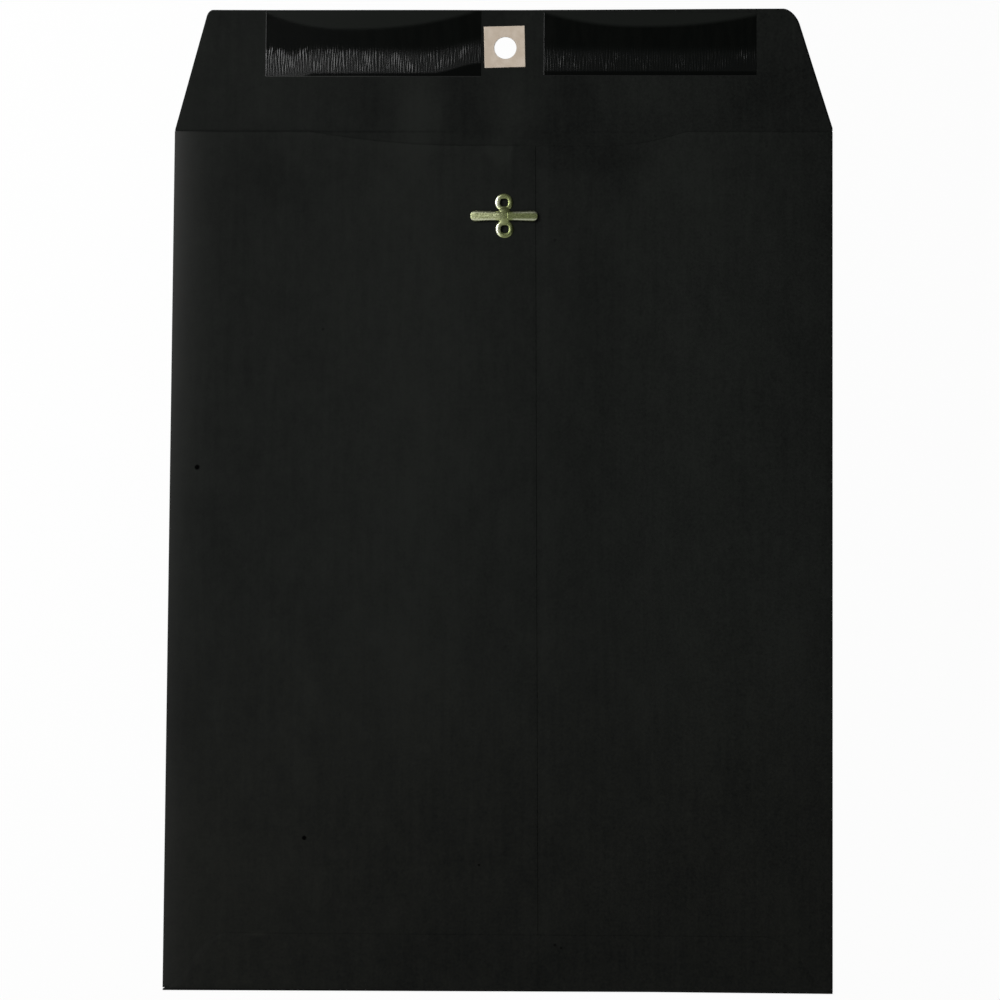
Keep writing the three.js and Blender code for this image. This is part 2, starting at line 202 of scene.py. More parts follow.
def apply_modifiers(piece):
    graph = bpy.context.evaluated_depsgraph_get()
    mesh = bpy.data.meshes.new_from_object(piece.evaluated_get(graph))
    piece.modifiers.clear()
    piece.data = mesh


def cut_round_hole(piece, centre, radius):
    """Cuts an upright round hole through a thin piece."""
    bpy.ops.mesh.primitive_cylinder_add(vertices=HOLE_SIDES, radius=radius, depth=20 * MM, location=centre)
    cutter = bpy.context.object
    cut = piece.modifiers.new("hole", "BOOLEAN")
    cut.operation = "DIFFERENCE"
    cut.solver = "EXACT"
    cut.object = cutter
    apply_modifiers(piece)
    bpy.data.objects.remove(cutter)


# Surfaces of the paper


def seam_x(y):
    return SEAM_TOP_X + SEAM_LEAN * (FOLD_Y - y) / SEAM_LENGTH


def throat_y(x):
    """The top edge of the side panels: level with the fold at the sides, cut lower in the middle."""
    left = (THROAT_FLAT[0] - x) / THROAT_RISE[0]
    right = (x - THROAT_FLAT[1]) / THROAT_RISE[1]
    run = np.clip(np.maximum(left, right), 0, 1)
    return FOLD_Y - np.maximum(THROAT_DEPTH * (1 - run**2), TOP_SETBACK)


def back_height(x, y):
    """Height of the back's outer face: pressed low at the folds, and a little full in the middle."""
    from_side = HALF_WIDTH - np.abs(x)
    side = np.exp(-from_side / (4.5 * MM)) * (BACK_TOP - EDGE_HEIGHT)
    from_bottom = y - BOTTOM_Y
    bottom = np.exp(-from_bottom / (3 * MM)) * (BACK_TOP - BOTTOM_EDGE_HEIGHT + STEP_DOWN)
    below_flap = smooth_step(50 * MM, 120 * MM, FOLD_Y - y) * smooth_step(20 * MM, 90 * MM, from_bottom)
    pillow = 0.9 * MM * below_flap * smooth_step(0, 70 * MM, from_side)
    ripple = 0.12 * MM * below_flap * np.sin(x / (17 * MM) + 1.3) * np.sin(y / (41 * MM) + 0.4)
    return BACK_TOP - np.maximum(side, bottom) + pillow + ripple


def dent_above_clasp(x, y):
    """A shallow wedge-shaped dent between the throat and the clasp, where the clasp pulls the panel."""
    down = (FOLD_Y - THROAT_DEPTH) - y
    share = np.clip(down / (15 * MM), 0, 1)
    middle = CLASP.x + (1.2 - 1.4 * share) * MM
    left_wall = smooth_step(-9 * MM * (1 - share) - 1.5 * MM, 0, x - middle)
    right_wall = 1 - smooth_step(0, 2.2 * MM, x - middle)
    return -0.35 * MM * left_wall * right_wall * (1 - share) ** 1.5


def pressed_mouth(x, from_top):
    """The panels lie lower along their top edge, except above the clasp and beside the folded edges."""
    held_up = hill(x, -1 * MM, 8 * MM)
    off_edge = smooth_step(2 * MM, 14 * MM, HALF_WIDTH - np.abs(x))
    depth = (0.4 + 0.14 * smooth_step(20 * MM, 60 * MM, x)) * MM
    return -depth * (1 - smooth_step(0, 14 * MM, from_top)) * (1 - held_up) * off_edge


def panel_height(x, y):
    return back_height(x, y) + dent_above_clasp(x, y) + pressed_mouth(x, throat_y(x) - y)


def crease_rise(x, y):
    """The crease is a narrow valley that front and flap rise from, shallow in the middle."""
    away = np.abs(y - FOLD_Y)
    hidden = smooth_step(8 * MM, 16 * MM, FOLD_Y - y)
    shallow = 0.75 * np.exp(-(((x - 8 * MM) / (32 * MM)) ** 4))
    full_rise = 0.1 * MM
    half_width = 0.55 * MM
    climbed = 1 - np.exp(-((away / half_width) ** 1.5))
    return full_rise * climbed * (1 - hidden) * (1 - shallow)


def flap_height(x, y):
    """Height of the open flap's upper face. It waves a little, but lies flat around the hole."""
    out = y - FOLD_Y
    wave = 0.14 * np.sin(x / (31 * MM) + 0.6) + 0.07 * np.sin(x / (13 * MM) - 1.1)
    near_hole = np.exp(-(((x - CLASP.x) / (15 * MM)) ** 4))
    lift = (0.18 + wave) * smooth_step(4 * MM, 40 * MM, out) * (1 - near_hole)
    springing = crease_rise(x, y) * (1 - 0.8 * smooth_step(10 * MM, 24 * MM, out))
    return PAPER + lift * MM + springing


def widened(x, y):
    """The right side reaches a little further out towards the pocket's mouth, and so does the flap's."""
    up = np.clip((y - BOTTOM_Y) / (FOLD_Y - BOTTOM_Y), 0, 1)
    return x + MOUTH_WIDENING * up * np.clip(x / HALF_WIDTH, 0, 1)


def flap_sides(out):
    """Left and right edge of the flap at a distance out from the fold, with the rounded free corners."""
    depth = FLAP_HIGH.y - FOLD_Y
    sides = []
    for inset, shoulder, corner in zip(FLAP_INSET, FLAP_SHOULDER, FLAP_CORNER):
        straight = HALF_WIDTH - max(0, inset * out / depth - shoulder)
        into_corner = np.clip((out - (depth - corner)) / corner, 0, 1)
        rounding = corner * (1 - np.sqrt(1 - into_corner**2)) * FLAP_CORNER_SHARE
        sides.append(straight - rounding)
    return -sides[0], sides[1]


# Paper pieces


def front_and_flap():
    """The front panel and the seal flap are one sheet, creased at the fold line."""
    # Rows lie closest together around the crease, and again in the round of the free corners.
    fine_start = FOLD_Y - 10 * MM
    fine_reach = 3 * MM
    front_rows = np.concatenate([
        np.linspace(FRONT_LOW.y, fine_start, 60, endpoint=False),
        np.linspace(fine_start, FOLD_Y + fine_reach, 53, endpoint=False),
    ])
    depth = FLAP_HIGH.y - FOLD_Y
    corner_start = depth - FLAP_CORNER[1]
    corner_turns = np.sin(np.linspace(0, math.pi / 2, 24)) * FLAP_CORNER[1]
    flap_rows = FOLD_Y + np.concatenate([
        np.linspace(fine_reach, corner_start, 56, endpoint=False),
        corner_start + corner_turns,
    ])
    columns = np.linspace(0, 1, 255)
    rows = []
    for row_y in np.concatenate([front_rows, flap_rows]):
        if row_y <= FOLD_Y:
            near_fold = smooth_step(FOLD_Y - 3 * MM, FOLD_Y, row_y)
            right = FRONT_HIGH.x + (HALF_WIDTH - FRONT_HIGH.x) * near_fold * 0.5
            left = -right
        else:
            left, right = flap_sides(row_y - FOLD_Y)
        x = widened(left + (right - left) * columns, row_y)
        y = np.full_like(x, row_y)
        if row_y > FOLD_Y:
            z = flap_height(x, y)
            edge_shift = FREE_EDGE_RISE * smooth_step(20 * MM, 110 * MM, x) - FREE_EDGE_DROP
            y += edge_shift * ((y - FOLD_Y) / depth) ** 3
        else:
            z = PAPER + crease_rise(x, y)
        rows.append(np.stack([x, y, z], 1))
    piece = sheet("front_and_seal_flap", np.array(rows), PAPER)
    cut_round_hole(piece, HOLE, HOLE_RADIUS)
    sharpen(piece)
    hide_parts("front_panel", "seal_flap")
    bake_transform(piece)
    return piece


def fold_section(edge_height, steps=14):
    """A pressed fold from the underside round to the top: distances from the outer edge, and heights."""
    radius = edge_height / 2
    angles = np.linspace(-math.pi / 2, math.pi / 2, steps)
    reach = radius * (1 - np.cos(angles))
    return reach, radius + radius * np.sin(angles)


def side_panel(name, side, nodes):
    """One back panel with its folded side edge. The right one also steps down under the left one."""
    reach, rise = fold_section(EDGE_HEIGHT)
    start_x = HALF_WIDTH - EDGE_HEIGHT / 2
    under_x = np.linspace(FRONT_HIGH.x, start_x, 3)[:-1]
    section_x = np.concatenate([under_x, HALF_WIDTH - reach])
    section_z = np.concatenate([np.zeros_like(under_x), rise])
    # Shares of the panel's width, closest together towards the seam
    flat = np.linspace(0, 1, 161)[1:]
    flat = 1 - (1 - flat) ** 1.35
    panel_end_y = PANEL_BOTTOM_Y - 0.35 * MM
    length = FOLD_Y - panel_end_y
    edge_steps = np.array([0, 0.1, 0.22, 0.4, 0.7, 1.1, 1.6, 2.3, 3.2]) * MM
    tops = np.concatenate([edge_steps, np.linspace(4.3 * MM, length, 230)]) / length
    rows = []
    for v in tops:
        # v runs from the throat down to the bottom fold
        guess_y = FOLD_Y + (panel_end_y - FOLD_Y) * v
        inner_x = seam_x(guess_y) if side < 0 else seam_x(guess_y) - SEAM_LAP
        panel_x = side * start_x + (inner_x - side * start_x) * flat
        x = np.concatenate([side * section_x, panel_x])
        top = throat_y(x)
        y = top + (panel_end_y - top) * v
        panel_y = y[len(section_x):]
        z_panel = panel_height(panel_x, panel_y)
        z_panel = z_panel - 0.07 * MM * (1 - smooth_step(0, 0.35 * MM, v * length))
        past_seam = panel_x - seam_x(panel_y)
        if side > 0:
            z_panel = z_panel - STEP_DOWN * (1 - smooth_step(0.3 * MM, 6 * MM, past_seam))
        else:
            z_panel = z_panel - 0.06 * MM * smooth_step(-1.5 * MM, 0, past_seam)
        z = np.concatenate([section_z, z_panel])
        rows.append(np.stack([widened(x, y), y, z], 1))
    grid = np.array(rows)
    if side < 0:
        grid = grid[::-1]
    piece = sheet(name, grid, PAPER)
    for across, along in LOBE_PLACES:
        cut_round_hole(piece, CLASP + Vector((across, along, 0)), BARREL_HOLE_RADIUS)
    sharpen(piece)
    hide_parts(*nodes)
    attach(piece, "pocket")
    return piece


def bottom_flap_piece():
    """The bottom flap, folded up over both side panels, with its slanted and rounded ends."""
    reach, rise = fold_section(BOTTOM_EDGE_HEIGHT)
    top_start = BOTTOM_Y + BOTTOM_EDGE_HEIGHT / 2
    under_y = np.linspace(FRONT_LOW.y, top_start, 3)[:-1]
    section_y = np.concatenate([under_y, BOTTOM_Y + reach])
    section_z = np.concatenate([np.zeros_like(under_y), rise])
    corner_start = BOTTOM_HIGH.y - BOTTOM_CORNER
    corner_turns = np.sin(np.linspace(0, math.pi / 2, 20)) * BOTTOM_CORNER
    panel_y = np.concatenate([
        np.linspace(top_start, corner_start, 40)[1:-1],
        corner_start + corner_turns,
    ])
    columns = np.linspace(-1, 1, 401)
    rows = []
    for row_y, row_z in zip(section_y, section_z):
        x = BOTTOM_HALF_WIDTH * columns
        rows.append(np.stack([x, np.full_like(x, row_y), np.full_like(x, row_z)], 1))
    height = BOTTOM_HIGH.y - top_start
    lift = PAPER + GLUE
    for row_y in panel_y:
        share = (row_y - top_start) / height
        half = BOTTOM_HALF_WIDTH - (HALF_WIDTH - BOTTOM_FOOT) * smooth_step(0, 0.12, share)
        half -= BOTTOM_TAPER * share
        into_corner = min(max((row_y - corner_start) / BOTTOM_CORNER, 0), 1)
        half -= BOTTOM_CORNER * (1 - math.sqrt(1 - into_corner**2)) * BOTTOM_CORNER_SHARE
        x = half * columns
        y = np.full_like(x, row_y)
        past_seam = x - seam_x(row_y)
        beside_seam = smooth_step(-0.6 * MM, 0.6 * MM, past_seam)
        beside_seam = beside_seam * (1 - smooth_step(1 * MM, 7 * MM, past_seam))
        step = 0.5 * STEP_DOWN * beside_seam
        pressed = 0.215 * MM * (1 - smooth_step(0.2 * MM, 3.5 * MM, half - np.abs(x)))
        pressed = pressed + 0.05 * MM * (1 - smooth_step(0, 0.6 * MM, BOTTOM_HIGH.y - row_y))
        lifted = lift * smooth_step(0, 1.5 * MM, row_y - top_start)
        z = back_height(x, y) + lifted - step - pressed
        rows.append(np.stack([x, y, z], 1))
    grid = np.array(rows)
    at_fold = 1 - smooth_step(2 * MM, 12 * MM, grid[..., 1] - BOTTOM_Y)
    grid[..., 1] += np.interp(grid[..., 0] / HALF_WIDTH, *BOTTOM_WANDER) * MM * at_fold
    piece = sheet("bottom_flap_sheet", grid, PAPER)
    sharpen(piece)
    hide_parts("bottom_fold_edge", "bottom_flap")
    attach(piece, "pocket")
    return piece


def hole_patch_piece():
    """The buff paper square glued over the flap's hole, slightly turned."""
    middle_x = (PATCH_LOW.x + PATCH_HIGH.x) / 2 + PATCH_SHIFT[0]
    middle_y = (PATCH_LOW.y + PATCH_HIGH.y) / 2 + PATCH_SHIFT[1]
    half_x, half_y = PATCH_HALF_SIZE
    dx, dy = np.meshgrid(np.linspace(-half_x, half_x, 66), np.linspace(-half_y, half_y, 66))
    turn = math.radians(PATCH_TURN_DEGREES)
    x = middle_x + dx * math.cos(turn) - dy * math.sin(turn)
    y = middle_y + dx * math.sin(turn) + dy * math.cos(turn)
    z = flap_height(x, y) + PATCH_THICKNESS
    piece = sheet("buff_hole_patch", np.stack([x, y, z], 2), PATCH_THICKNESS - 0.01 * MM)
    cut_round_hole(piece, HOLE, HOLE_RADIUS + 0.05 * MM)
    sharpen(piece)
    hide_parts("hole_patch")
    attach(piece, "flap")
    return piece


def ripple_field(rows, columns, spacing, pitch, reach, seed):
    """Seeded ripples of unit size: upright and wavy, about one pitch apart and one reach long."""
    noise = np.random.default_rng(seed).standard_normal((rows, columns))
    waves_x = np.abs(np.fft.fftfreq(columns, spacing[0]))[None, :] * pitch
    waves_y = np.abs(np.fft.fftfreq(rows, spacing[1]))[:, None] * reach
    band = np.exp(-(((waves_x - 1) / 0.38) ** 2)) * np.exp(-(waves_y**2) * 1.5)
    field = np.real(np.fft.ifft2(np.fft.fft2(noise) * band))
    smoothing = np.exp(-2 * (waves_x**2 + waves_y**2))
    strength = np.real(np.fft.ifft2(np.fft.fft2(field**2) * smoothing))
    even = field / np.maximum(strength, 0.05 * strength.mean()) ** 0.35
    return even / even.std()


def gum_piece(name, node, seed, strength, bend, growth):
    """A strip of dried gum: a thin glossy coat, drawn into fine upright ripples along its lower half."""
    low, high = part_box(node)
    columns = np.linspace(low.x, high.x, 640)
    rows = np.linspace(low.y, high.y, 96)
    x, y = np.meshgrid(columns, rows)
    spacing = (columns[1] - columns[0], rows[1] - rows[0])
    share = (y - low.y) / (high.y - low.y)
    along = (x - low.x) / (high.x - low.x)
    middle = 0.24 - 0.65 * bend * hill(along, 0.68, 0.09) + bend * smooth_step(0.72, 1, along)
    width = 0.19 + 0.02 * np.sin(along * 17 + seed) - 0.05 * smooth_step(0.75, 1, along)
    band = np.exp(-np.abs((share - middle) / width) ** 3)
    patchy = 0.85 + 0.15 * ripple_field(*x.shape, spacing, 12 * MM, 8 * MM, seed + 1)
    at_edge = smooth_step(0.03, 0.1, share)
    band = band * (at_edge + (1 - at_edge) * (1 - smooth_step(0.16, 0.2, along)))
    ripples = ripple_field(*x.shape, spacing, 1.05 * MM, 6 * MM, seed)
    ripples = ripples + 0.4 * ripple_field(*x.shape, spacing, 0.72 * MM, 2.4 * MM, seed + 2)
    depth = RIPPLE_DEPTH * strength * np.clip(patchy, 0.1, 1.6) * (band + 0.01)
    depth = depth * (1 + growth * smooth_step(0.45, 1, along))
    # A bead along each end of the strip, the right one lower
    beads = hill(x, low.x + 0.4 * MM, 0.35 * MM) + 0.4 * hill(x, high.x - 0.4 * MM, 0.35 * MM)
    bead = BEAD_HEIGHT * beads * (1 - 0.92 * smooth_step(0.4, 0.55, share))
    z = flap_height(x, y) + GUM_LIFT + depth * np.clip(ripples, -2.4, 2.4) + bead
    piece = sheet(name, np.stack([x, y, z], 2), GUM_COAT)
    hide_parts(node)
    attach(piece, "flap")
    return piece


def glue_pieces():
    """The pasted strips between the layers, hidden from outside."""
    low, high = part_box("seam_glue_line")
    across = np.linspace(*SEAM_PASTE, 8)
    rows = []
    for row_y in np.linspace(low.y, high.y, 60):
        x = seam_x(row_y) + across
        y = np.full_like(x, row_y)
        z = panel_height(x, y) - PAPER
        rows.append(np.stack([x, y, z], 1))
    seam = sheet("seam_paste", np.array(rows), GLUE * 0.8)
    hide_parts("seam_glue_line")
    low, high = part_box("bottom_flap_glue_line")
    x, y = np.meshgrid(np.linspace(low.x, high.x, 150), np.linspace(low.y, high.y, 12))
    z = back_height(x, y) + GLUE
    bottom = sheet("bottom_flap_paste", np.stack([x, y, z], 2), GLUE * 0.8)
    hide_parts("bottom_flap_glue_line")
    for piece in (seam, bottom):
        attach(piece, "pocket")
    return [seam, bottom]


# Clasp


def superellipse(angle, half_x, half_y, power):
    c, s = np.cos(angle), np.sin(angle)
    reach = (np.abs(c / half_x) ** power + np.abs(s / half_y) ** power) ** (-1 / power)
    return reach * c, reach * s


def ring_faces(count, rings, closed=False):
    """Faces between rings of count points each. If closed, the last ring is joined to the first."""
    faces = []
    for ring in range(rings if closed else rings - 1):
        here = ring * count
        there = (ring + 1) % rings * count
        for i in range(count):
            j = (i + 1) % count
            faces.append((here + i, here + j, there + j, there + i))
    return faces


# A lobe's rim and barrel in section: how round it is (0 is the eye's own outline), radius and height in
# millimetres. It runs from the rim's foot over the top, down the eye to the collar and back up outside.
LOBE_PROFILE = (
    (1.0, 3.5, 0.0), (1.0, 3.5, 0.16), (1.0, 3.4, 0.3), (1.0, 3.2, 0.42), (1.0, 2.95, 0.48),
    (1.0, 2.65, 0.5), (0.8, 2.35, 0.49), (0.4, 2.1, 0.45), (0.12, 2.0, 0.3), (0.0, 0, 0.05),
    (0.0, 0, -0.2), (0.0, 0, -0.55), (1.0, 3.0, -0.55), (1.0, 3.0, -0.38), (1.0, 2.25, -0.36),
    (1.0, 2.15, -0.2), (1.0, 2.15, -0.02), (1.0, 3.5, 0.0),
)


def lobe_points(centre):
    """A rolled eyelet rim round a squarish eye, with its barrel down to the clinched collar."""
    angles = np.linspace(0, 2 * math.pi, 97)[:-1]
    eye = np.stack(superellipse(angles, 1.5 * MM, 1.48 * MM, 3.0), 1)
    rings = []
    for circle_share, radius, height in LOBE_PROFILE:
        circle = np.stack([radius * MM * np.cos(angles), radius * MM * np.sin(angles)], 1)
        ring = circle_share * circle + (1 - circle_share) * eye
        rings.append(np.concatenate([ring, np.full((len(angles), 1), height * MM)], 1))
    grid = np.array(rings) + np.array(centre)
    return grid.reshape(-1, 3), ring_faces(len(angles), len(rings), closed=True)


def join_meshes(name, parts):
    points = []
    faces = []
    for part_points, part_faces in parts:
        offset = len(points)
        points.extend([tuple(p) for p in part_points])
        faces.extend([tuple(offset + i for i in face) for face in part_faces])
    return make_object(name, points, faces)


def mound(centre, half_x, half_y, height, power, steep):
    """A closed mound on a flat underside. Small values in steep make its sides and its ends steep."""
    turns, rings = 72, 24
    angles = np.linspace(0, 2 * math.pi, turns, endpoint=False)
    rim_x, rim_y = superellipse(angles, half_x, half_y, power)
    points = []
    for ring in range(rings):
        climb = ring / rings * math.pi / 2
        x = centre.x + rim_x * math.cos(climb) ** steep[0]
        y = centre.y + rim_y * math.cos(climb) ** steep[1]
        z = centre.z + height * math.sin(climb)
        points += [(a, b, z) for a, b in zip(x, y)]
    top = len(points)
    points.append((centre.x, centre.y, centre.z + height))
    faces = [tuple(reversed(range(turns)))]
    faces += ring_faces(turns, rings)
    last = (rings - 1) * turns
    for i in range(turns):
        faces.append((last + i, last + (i + 1) % turns, top))
    return points, faces


def clasp_base_piece():
    """Both lobes, the spine between them and the raised middle, pressed from one sheet of soft brass."""
    parts = []
    for across, along in LOBE_PLACES:
        parts.append(lobe_points(CLASP + Vector((across, along, 0))))
    parts.append(mound(CLASP, 2.3 * MM, 3.45 * MM, 0.48 * MM, 4.0, (0.4, 0.3)))
    parts.append(mound(CLASP, 2.6 * MM, 3.4 * MM, 1.3 * MM, 2.4, (0.45, 1.0)))
    blade_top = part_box("clasp_prong_left")[1].z
    bar_middle = Vector((CLASP.x, PRONG_Y, CLASP.z))
    bar_height = blade_top - CLASP.z - 0.02 * MM
    parts.append(mound(bar_middle, 2.35 * MM, 1.7 * MM, bar_height, 4.0, (0.12, 0.26)))
    piece = join_meshes("clasp_base_pressing", parts)
    remesh = piece.modifiers.new("one_skin", "REMESH")
    remesh.mode = "VOXEL"
    remesh.voxel_size = 0.06 * MM
    soften = piece.modifiers.new("soften", "SMOOTH")
    soften.factor = 0.5
    soften.iterations = 14
    apply_modifiers(piece)
    piece.data.polygons.foreach_set("use_smooth", [True] * len(piece.data.polygons))
    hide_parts("clasp_base")
    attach(piece, "pocket")
    return piece


def prong_piece(name, node, side):
    """A flat, slightly domed brass blade with a round end. Its root runs into the clasp's raised middle."""
    low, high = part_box(node)
    tip_x = high.x - 0.2 * MM if side > 0 else low.x
    inner_x = CLASP.x + side * 1.2 * MM
    length = abs(tip_x - inner_x)
    stations = length * (1 - (1 - np.linspace(0, 1, 110)) ** 1.7)
    section = 44
    angles = np.linspace(0, 2 * math.pi, section, endpoint=False)
    thick_half = 0.22 * MM
    dome_height = 0.06 * MM
    tip_sag = 0.06 * MM
    middle = high.z - thick_half - dome_height
    end_radius = 1.9 * MM
    points = []
    for s in stations:
        share = s / length
        half = (1.67 + 0.12 * smooth_step(0, 2 * MM, s) + 0.32 * smooth_step(0.2, 0.9, share)) * MM
        into_end = max(0.0, (s - (length - end_radius)) / end_radius)
        half *= max(0.0005, (1 - into_end**2.3)) ** 0.45
        x = inner_x + side * s
        across, rise = superellipse(angles, half, thick_half, 3.2)
        dome = dome_height * (1 - (across / max(half, 1e-6)) ** 2)
        heights = middle + rise + dome - tip_sag * share**2
        points += [(x, PRONG_Y + side * a, z) for a, z in zip(across, heights)]
    faces = [tuple(reversed(range(section)))]
    faces += ring_faces(section, len(stations))
    last = (len(stations) - 1) * section
    faces.append(tuple(last + i for i in range(section)))
    piece = make_object(name, points, faces)
    fix_normals(piece)
    sharpen(piece, 60)
    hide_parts(node)
    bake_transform(piece)
    return piece


def fix_normals(piece):
    mesh = bmesh.new()
    mesh.from_mesh(piece.data)
    bmesh.ops.recalc_face_normals(mesh, faces=mesh.faces)
    mesh.to_mesh(piece.data)
    mesh.free()


# Materials

RANGE_SOCKETS = ("From Min", "From Max", "To Min", "To Max")


class Nodes:
    """A short way to write the node tree of a material."""

    def __init__(self, name):
        self.material = bpy.data.materials.new(name)
        self.material.use_nodes = True
        self.tree = self.material.node_tree
        self.shader = self.tree.nodes["Principled BSDF"]
        self.place = self.tree.nodes.new("ShaderNodeTexCoord").outputs["Object"]

    def put(self, value, socket):
        """Sets a socket to a number or a colour, or links an output to it."""
        if isinstance(value, (int, float)):
            socket.default_value = value
        elif isinstance(value, tuple):
            socket.default_value = (*value, 1)
        else:
            self.link(value, socket)

    def add(self, kind, **settings):
        node = self.tree.nodes.new(kind)
        for key, value in settings.items():
            setattr(node, key, value)
        return node

    def link(self, source, target):
        self.tree.links.new(source, target)

    def scaled(self, scale):
        node = self.add("ShaderNodeMapping")
        node.inputs["Scale"].default_value = scale
        self.link(self.place, node.inputs["Vector"])
        return node.outputs["Vector"]

    def noise(self, scale, size=1.0, detail=4.0, roughness=0.55):
        node = self.add("ShaderNodeTexNoise")
        node.inputs["Scale"].default_value = size
        node.inputs["Detail"].default_value = detail
        node.inputs["Roughness"].default_value = roughness
        self.link(self.scaled(scale), node.inputs["Vector"])
        return node.outputs["Fac"]

    def math(self, operation, first, second=0.0, third=0.0, clamp=False):
        node = self.add("ShaderNodeMath", operation=operation, use_clamp=clamp)
        for socket, value in zip(node.inputs, (first, second, third)):
            self.put(value, socket)
        return node.outputs[0]

    def ramp(self, value, low, high, low_out=0.0, high_out=1.0):
        node = self.add("ShaderNodeMapRange", clamp=True)
        node.interpolation_type = "SMOOTHSTEP"
        self.link(value, node.inputs["Value"])
        for socket, number in zip(RANGE_SOCKETS, (low, high, low_out, high_out)):
            node.inputs[socket].default_value = number
        return node.outputs["Result"]

    def mix(self, factor, first, second):
        node = self.add("ShaderNodeMix", data_type="RGBA")
        for socket, value in zip(("Factor", "A", "B"), (factor, first, second)):
            self.put(value, node.inputs[socket])
        return node.outputs["Result"]

    def times(self, *values):
        """The product of two or more values."""
        product = values[0]
        for value in values[1:]:
            product = self.math("MULTIPLY", product, value)
        return product

    def plus(self, *values):
        """The sum of two or more values."""
        total = values[0]
        for value in values[1:]:
            total = self.math("ADD", total, value)
        return total

    def centred(self, value, amount):
        """A noise around zero instead of around a half, and scaled."""
        return self.times(self.math("SUBTRACT", value, 0.5), amount)

    def bell(self, value, centre, half):
        """One at the centre, falling smoothly away to nothing beyond twice the half width."""
        share = self.math("DIVIDE", self.math("SUBTRACT", value, centre), half)
        return self.math("POWER", math.e, self.times(share, share, -1.0))

    def coordinates(self):
        node = self.add("ShaderNodeSeparateXYZ")
        self.link(self.place, node.inputs[0])
        return node.outputs["X"], node.outputs["Y"], node.outputs["Z"]

    def bump(self, height, strength, distance, below=None):
        node = self.add("ShaderNodeBump")
        node.inputs["Strength"].default_value = strength
        node.inputs["Distance"].default_value = distance
        self.link(height, node.inputs["Height"])
        if below is not None:
            self.link(below, node.inputs["Normal"])
        return node.outputs["Normal"]

    def finish(self, colour, roughness, normal, metallic=0.0, specular=0.5):
        self.put(colour, self.shader.inputs["Base Color"])
        self.put(roughness, self.shader.inputs["Roughness"])
        self.put(metallic, self.shader.inputs["Metallic"])
        self.link(normal, self.shader.inputs["Normal"])
        self.shader.inputs["Specular IOR Level"].default_value = specular
        return self.material


PAPER_DARK = (0.0019, 0.0024, 0.0021)
PAPER_LIGHT = (0.0093, 0.0106, 0.0092)
PAPER_LIGHT_BELOW = (0.0098, 0.0104, 0.0086)
PAPER_SHEEN = (0.034, 0.034, 0.033)
SPECK_BLACK = (0.0002, 0.0002, 0.0002)
FOLD_SHADE_BLACK = (0.0006, 0.0007, 0.0006)
# Specks: x, y, radius in millimetres, and how dark.
SPECKS = (
    (-116.4, 10.0, 1.05, 1.0), (-73.6, -131.5, 0.9, 1.0), (-7.0, -141.3, 0.55, 0.7),
    (22.0, -171.3, 0.6, 0.6), (24.3, -172.4, 0.5, 0.6), (-68.5, 63.6, 0.6, 0.4),
    (20.7, 98.5, 0.6, 0.35),
)
# Broad upright bands of painted light and shade, standing in for the paper's gentle waves: x, half width, and
# lighter or darker.
PAINTED_SHADING_BANDS = (
    (-101, 13, -0.08), (-34, 26, 0.2), (8, 12, -0.02),
    (36, 14, -0.08), (72, 20, 0.12), (122, 12, -0.12),
)
# Soft patches of painted light and shade: x, y, half width, half height, and lighter or darker.
PAINTED_SHADING_MARKS = (
    (-95, 160, 28, 22, 0.14), (-32, 148, 8, 18, 0.52), (-12.5, 149, 7, 14, -0.3),
    (3.5, 150, 7, 14, 0.32), (30, 152, 8, 16, -0.3), (-52, 152, 6, 15, -0.18),
    (60, 155, 17, 16, 0.22), (104, 155, 15, 17, -0.22), (0.2, 131, 2.8, 5, 0.5),
    (-4, 133.5, 3, 2.5, 0.3), (-24, 130, 7, 8, -0.2), (17, 132, 14, 10, -0.26),
    (44, 132, 12, 10, -0.34), (-112, -140, 50, 70, 0.24), (1.1, 113.05, 1.7, 1.7, 1.5),
    (1.1, 102.7, 1.7, 1.7, 1.5), (-90, 122, 34, 18, -0.14), (112, -45, 14, 55, 0.2),
    (10, -180, 90, 9, -0.14), (-124, -88, 12, 24, -0.3), (-91.5, -167.9, 3.5, 0.6, 0.5),
    (-91, -171.5, 4, 2.5, -0.2),
)


